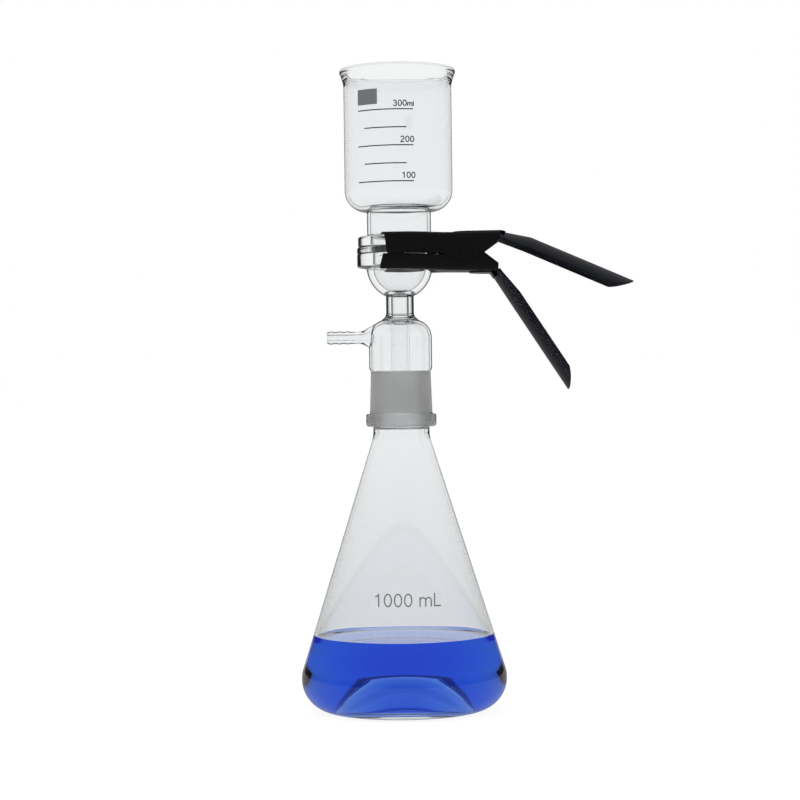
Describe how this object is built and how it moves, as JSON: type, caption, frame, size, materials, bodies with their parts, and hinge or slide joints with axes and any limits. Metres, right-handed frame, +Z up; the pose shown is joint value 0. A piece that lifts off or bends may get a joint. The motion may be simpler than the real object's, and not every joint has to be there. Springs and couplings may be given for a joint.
{
  "type": "vacuum filtration unit",
  "caption": "Glass vacuum filtration unit: filter cup clamped on a side-arm filter head over a conical flask of blue filtrate.",
  "frame": {"origin": "centre of the flask's base, on the surface it stands on", "axes": "+Z up along the flask's axis, +X towards the clamp's handles, away from the side arm"},
  "size_m": [0.2215, 0.135, 0.4215],
  "materials": {
    "clear_glass": "clear, fire polished; ground on the joint",
    "sintered_glass": "sintered, granular",
    "blue_liquid": "clear liquid",
    "membrane": "matt",
    "grey_enamel": "fired print, satin",
    "black_enamel": "gloss black",
    "spring_steel": "oiled wire"
  },
  "bodies": {
    "unit": {"conical_flask": "clear_glass", "filtrate": "blue_liquid", "filter_head": "clear_glass", "sintered_disc": "sintered_glass", "membrane_filter": "membrane", "filter_cup": "clear_glass", "cup_scale": "grey_enamel", "lower_jaw": "black_enamel", "lower_handle": "black_enamel", "pivot_pin": "black_enamel", "torsion_spring": "spring_steel"},
    "upper_lever": {"upper_jaw": "black_enamel", "upper_handle": "black_enamel"}
  },
  "joints": [
    {"name": "clamp_squeeze", "type": "hinge", "parent": "unit", "child": "upper_lever", "pos_m": [0.0434, 0, 0.30068], "axis": [0, 1, 0], "range_deg": [0, 17], "stiffness_Nm_per_rad": 2.5, "springref_deg": -28.65, "deforming": ["torsion_spring"]}
  ]
}
